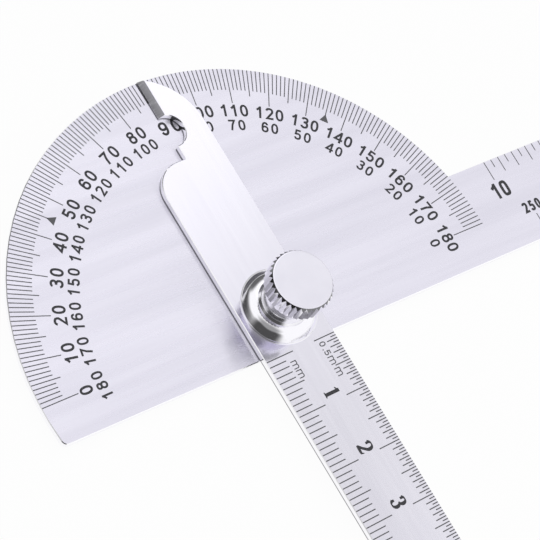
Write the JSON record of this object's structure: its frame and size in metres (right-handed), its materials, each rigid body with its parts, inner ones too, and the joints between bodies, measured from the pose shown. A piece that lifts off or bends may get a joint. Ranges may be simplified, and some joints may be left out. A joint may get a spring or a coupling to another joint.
{
  "type": "protractor with swinging ruler arm",
  "caption": "Half-round steel protractor with a fixed ruler and a swinging ruler arm, held at its angle by a knurled clamp knob.",
  "frame": {"origin": "on the pivot axis, at the underside of the pivot screw's head, the lowest level of the part", "axes": "+Z out of the graduated face along the pivot axis, +X along the fixed ruler (the 180 degree side), +Y to the 90 degree mark"},
  "size_m": [0.3493, 0.3069, 0.0132],
  "materials": {
    "plate_steel": "fine brushing along the fixed ruler",
    "arm_steel": "semi-polished, faint brushing",
    "screw_steel": "satin",
    "washer_chrome": "polished",
    "spring_steel": "bright spring steel",
    "knob_steel": "satin face, bright knurl and hub"
  },
  "bodies": {
    "root": {"protractor_plate": "plate_steel", "pivot_screw": "screw_steel", "spring_washer": "spring_steel"},
    "arm": {"swing_arm": "arm_steel"},
    "clamp": {"cup_washer": "washer_chrome"},
    "knob": {"clamp_knob": "knob_steel"}
  },
  "joints": [
    {"name": "arm_swing", "type": "hinge", "parent": "root", "child": "arm", "pos_m": [0, 0, 0.00262], "axis": [0, 0, 1], "range_deg": [-91.15, 88.85]},
    {"name": "clamp_lift", "type": "slide", "parent": "root", "child": "clamp", "axis": [0, 0, 1], "range_m": [0, 0.0007], "deforming": ["spring_washer"]},
    {"name": "knob_turn", "type": "hinge", "parent": "clamp", "child": "knob", "pos_m": [0, 0, 0.00917], "axis": [0, 0, 1], "range_deg": [0, 360]}
  ],
  "couplings": [
    {"joint": "knob_turn", "follows": "clamp_lift", "rad_per_m": 8976}
  ]
}
